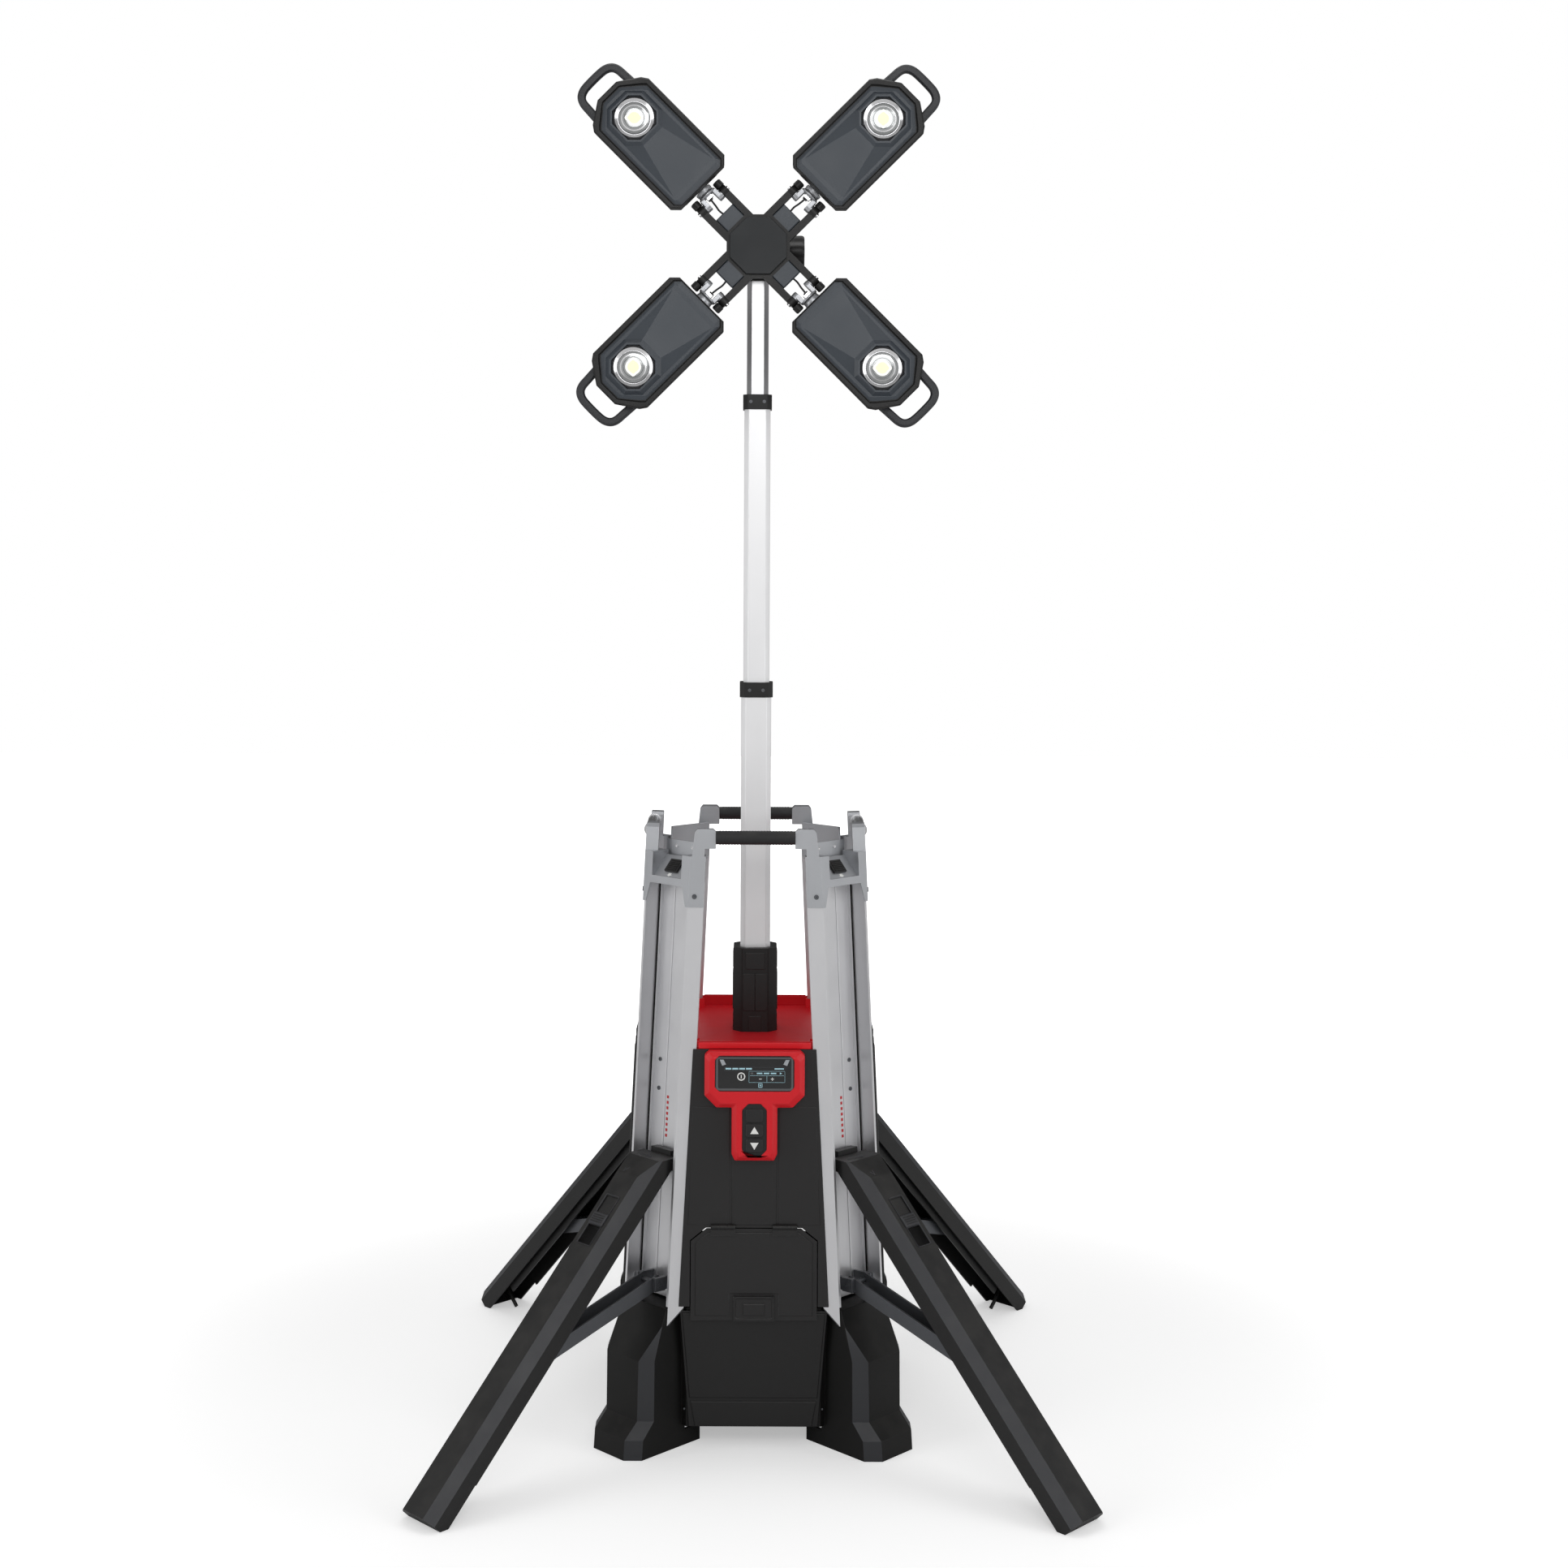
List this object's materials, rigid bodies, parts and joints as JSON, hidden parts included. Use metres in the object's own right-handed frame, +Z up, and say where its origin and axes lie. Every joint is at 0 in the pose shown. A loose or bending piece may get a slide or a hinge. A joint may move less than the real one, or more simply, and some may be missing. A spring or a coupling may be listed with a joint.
{
  "type": "mobile light tower",
  "caption": "Battery mobile light tower: leaning corner posts, fold-out legs, telescopic mast and a tilting hub of folding light heads.",
  "frame": {"origin": "on the floor under the mast's axis, at the middle of the four feet", "axes": "+Z up along the mast, -Y towards the control console, +X to the right as it is looked at"},
  "size_m": [1.1938, 1.1938, 2.5769],
  "materials": {
    "moulded_black": "fine texture",
    "panel_black": "fine texture",
    "console_red": "satin",
    "extruded_aluminium": "anodised",
    "cast_aluminium": "fine cast, satin",
    "rubber_grip": "ribbed",
    "bare_tube": "polished",
    "leg_black": "fine texture",
    "brace_grey": "satin",
    "bracket_steel": "zinc",
    "display_glass": "gloss",
    "head_grey": "satin",
    "lens_clear": "clear",
    "tyre": "tread",
    "battery_red": "textured"
  },
  "bodies": {
    "body": {"base_shell": "moulded_black", "base_apron": "moulded_black", "front_panel": "panel_black", "rear_panel": "panel_black", "side_panels": "panel_black", "top_tray": "console_red", "control_console": "console_red", "display_panel": "display_glass", "keypad": "moulded_black", "mast_sleeve": "moulded_black", "corner_posts": "extruded_aluminium", "corner_castings": "cast_aluminium", "handle_grips": "rubber_grip", "side_handle_tubes": "bare_tube", "leg_brackets": "bracket_steel", "leg_latches": "moulded_black", "wheel_axle": "bracket_steel", "battery_pack": "battery_red"},
    "door": {"battery_door": "panel_black"},
    "wheel_left": {"wheel_left": "moulded_black", "tyre_left": "tyre"},
    "wheel_right": {"wheel_right": "moulded_black", "tyre_right": "tyre"},
    "mast_lower": {"mast_tube_lower": "extruded_aluminium", "collar_lower": "moulded_black"},
    "mast_middle": {"mast_tube_middle": "extruded_aluminium", "collar_upper": "moulded_black"},
    "mast_upper": {"mast_tube_upper": "extruded_aluminium", "mast_head": "moulded_black"},
    "hub": {"hub_frame": "moulded_black", "hub_cover": "panel_black", "tilt_knob": "moulded_black"},
    "yoke_upper_right": {"head_yoke_upper_right": "cast_aluminium"},
    "head_upper_right": {"head_housing_upper_right": "head_grey", "head_lens_upper_right": "lens_clear"},
    "yoke_upper_left": {"head_yoke_upper_left": "cast_aluminium"},
    "head_upper_left": {"head_housing_upper_left": "head_grey", "head_lens_upper_left": "lens_clear"},
    "yoke_lower_left": {"head_yoke_lower_left": "cast_aluminium"},
    "head_lower_left": {"head_housing_lower_left": "head_grey", "head_lens_lower_left": "lens_clear"},
    "yoke_lower_right": {"head_yoke_lower_right": "cast_aluminium"},
    "head_lower_right": {"head_housing_lower_right": "head_grey", "head_lens_lower_right": "lens_clear"},
    "brace_front_right": {"leg_brace_front_right": "brace_grey"},
    "leg_front_right": {"outrigger_leg_front_right": "leg_black"},
    "slider_front_right": {"leg_slider_front_right": "moulded_black"},
    "brace_front_left": {"leg_brace_front_left": "brace_grey"},
    "leg_front_left": {"outrigger_leg_front_left": "leg_black"},
    "slider_front_left": {"leg_slider_front_left": "moulded_black"},
    "brace_rear_left": {"leg_brace_rear_left": "brace_grey"},
    "leg_rear_left": {"outrigger_leg_rear_left": "leg_black"},
    "slider_rear_left": {"leg_slider_rear_left": "moulded_black"},
    "brace_rear_right": {"leg_brace_rear_right": "brace_grey"},
    "leg_rear_right": {"outrigger_leg_rear_right": "leg_black"},
    "slider_rear_right": {"leg_slider_rear_right": "moulded_black"}
  },
  "joints": [
    {"name": "door_hinge", "type": "hinge", "parent": "body", "child": "door", "pos_m": [0, -0.2448, 0.41039], "axis": [-1, 0, 0], "range_deg": [0, 100]},
    {"name": "wheel_left_spin", "type": "hinge", "parent": "body", "child": "wheel_left", "pos_m": [-0.09, 0.205, 0.104], "axis": [1, 0, 0], "continuous": true},
    {"name": "wheel_right_spin", "type": "hinge", "parent": "body", "child": "wheel_right", "pos_m": [0.09, 0.205, 0.104], "axis": [1, 0, 0], "continuous": true},
    {"name": "mast_lower_slide", "type": "slide", "parent": "body", "child": "mast_lower", "axis": [0, 0, -1], "range_m": [-0.06, 0.465]},
    {"name": "mast_middle_slide", "type": "slide", "parent": "mast_lower", "child": "mast_middle", "axis": [0, 0, -1], "range_m": [-0.06, 0.51]},
    {"name": "mast_upper_slide", "type": "slide", "parent": "mast_middle", "child": "mast_upper", "axis": [0, 0, -1], "range_m": [-0.3, 0.215]},
    {"name": "hub_tilt", "type": "hinge", "parent": "mast_upper", "child": "hub", "pos_m": [0, 0, 2.235], "axis": [-1, 0, 0], "range_deg": [-5, 90]},
    {"name": "head_fold_upper_right", "type": "hinge", "parent": "hub", "child": "yoke_upper_right", "pos_m": [0.08627, -0.041, 2.32727], "axis": [-0.7071, 0, 0.7071], "range_deg": [-60, 90]},
    {"name": "head_swivel_upper_right", "type": "hinge", "parent": "yoke_upper_right", "child": "head_upper_right", "pos_m": [0.08627, -0.041, 2.32727], "axis": [0.7071, 0, 0.7071], "range_deg": [-180, 0]},
    {"name": "head_fold_upper_left", "type": "hinge", "parent": "hub", "child": "yoke_upper_left", "pos_m": [-0.08627, -0.041, 2.32727], "axis": [-0.7071, 0, -0.7071], "range_deg": [-60, 90]},
    {"name": "head_swivel_upper_left", "type": "hinge", "parent": "yoke_upper_left", "child": "head_upper_left", "pos_m": [-0.08627, -0.041, 2.32727], "axis": [-0.7071, 0, 0.7071], "range_deg": [-180, 0]},
    {"name": "head_fold_lower_left", "type": "hinge", "parent": "hub", "child": "yoke_lower_left", "pos_m": [-0.08627, -0.041, 2.15473], "axis": [0.7071, 0, -0.7071], "range_deg": [-60, 90]},
    {"name": "head_swivel_lower_left", "type": "hinge", "parent": "yoke_lower_left", "child": "head_lower_left", "pos_m": [-0.08627, -0.041, 2.15473], "axis": [-0.7071, 0, -0.7071], "range_deg": [-180, 0]},
    {"name": "head_fold_lower_right", "type": "hinge", "parent": "hub", "child": "yoke_lower_right", "pos_m": [0.08627, -0.041, 2.15473], "axis": [0.7071, 0, 0.7071], "range_deg": [-60, 90]},
    {"name": "head_swivel_lower_right", "type": "hinge", "parent": "yoke_lower_right", "child": "head_lower_right", "pos_m": [0.08627, -0.041, 2.15473], "axis": [0.7071, 0, -0.7071], "range_deg": [-180, 0]},
    {"name": "brace_fold_front_right", "type": "hinge", "parent": "body", "child": "brace_front_right", "pos_m": [0.19483, -0.19483, 0.295], "axis": [-0.7071, -0.7071, 0], "range_deg": [0, 108.69]},
    {"name": "leg_fold_front_right", "type": "hinge", "parent": "brace_front_right", "child": "leg_front_right", "pos_m": [0.39362, -0.39362, 0.21914], "axis": [0.7071, 0.7071, 0], "range_deg": [0, 150.1]},
    {"name": "slider_rise_front_right", "type": "slide", "parent": "body", "child": "slider_front_right", "axis": [-0.0443, 0.0443, 0.998], "range_m": [0, 0.48876]},
    {"name": "brace_fold_front_left", "type": "hinge", "parent": "body", "child": "brace_front_left", "pos_m": [-0.19483, -0.19483, 0.295], "axis": [-0.7071, 0.7071, 0], "range_deg": [0, 108.69]},
    {"name": "leg_fold_front_left", "type": "hinge", "parent": "brace_front_left", "child": "leg_front_left", "pos_m": [-0.39362, -0.39362, 0.21914], "axis": [0.7071, -0.7071, 0], "range_deg": [0, 150.1]},
    {"name": "slider_rise_front_left", "type": "slide", "parent": "body", "child": "slider_front_left", "axis": [0.0443, 0.0443, 0.998], "range_m": [0, 0.48876]},
    {"name": "brace_fold_rear_left", "type": "hinge", "parent": "body", "child": "brace_rear_left", "pos_m": [-0.19483, 0.19483, 0.295], "axis": [0.7071, 0.7071, 0], "range_deg": [0, 108.69]},
    {"name": "leg_fold_rear_left", "type": "hinge", "parent": "brace_rear_left", "child": "leg_rear_left", "pos_m": [-0.39362, 0.39362, 0.21914], "axis": [-0.7071, -0.7071, 0], "range_deg": [0, 150.1]},
    {"name": "slider_rise_rear_left", "type": "slide", "parent": "body", "child": "slider_rear_left", "axis": [0.0443, -0.0443, 0.998], "range_m": [0, 0.48876]},
    {"name": "brace_fold_rear_right", "type": "hinge", "parent": "body", "child": "brace_rear_right", "pos_m": [0.19483, 0.19483, 0.295], "axis": [0.7071, -0.7071, 0], "range_deg": [0, 108.69]},
    {"name": "leg_fold_rear_right", "type": "hinge", "parent": "brace_rear_right", "child": "leg_rear_right", "pos_m": [0.39362, 0.39362, 0.21914], "axis": [-0.7071, 0.7071, 0], "range_deg": [0, 150.1]},
    {"name": "slider_rise_rear_right", "type": "slide", "parent": "body", "child": "slider_rear_right", "axis": [-0.0443, -0.0443, 0.998], "range_m": [0, 0.48876]}
  ],
  "couplings": [
    {"joint": "leg_fold_front_right", "follows": "brace_fold_front_right", "ratio": 1.381},
    {"joint": "slider_rise_front_right", "follows": "brace_fold_front_right", "m_per_rad": 0.25764},
    {"joint": "leg_fold_front_left", "follows": "brace_fold_front_left", "ratio": 1.381},
    {"joint": "slider_rise_front_left", "follows": "brace_fold_front_left", "m_per_rad": 0.25764},
    {"joint": "leg_fold_rear_left", "follows": "brace_fold_rear_left", "ratio": 1.381},
    {"joint": "slider_rise_rear_left", "follows": "brace_fold_rear_left", "m_per_rad": 0.25764},
    {"joint": "leg_fold_rear_right", "follows": "brace_fold_rear_right", "ratio": 1.381},
    {"joint": "slider_rise_rear_right", "follows": "brace_fold_rear_right", "m_per_rad": 0.25764}
  ]
}
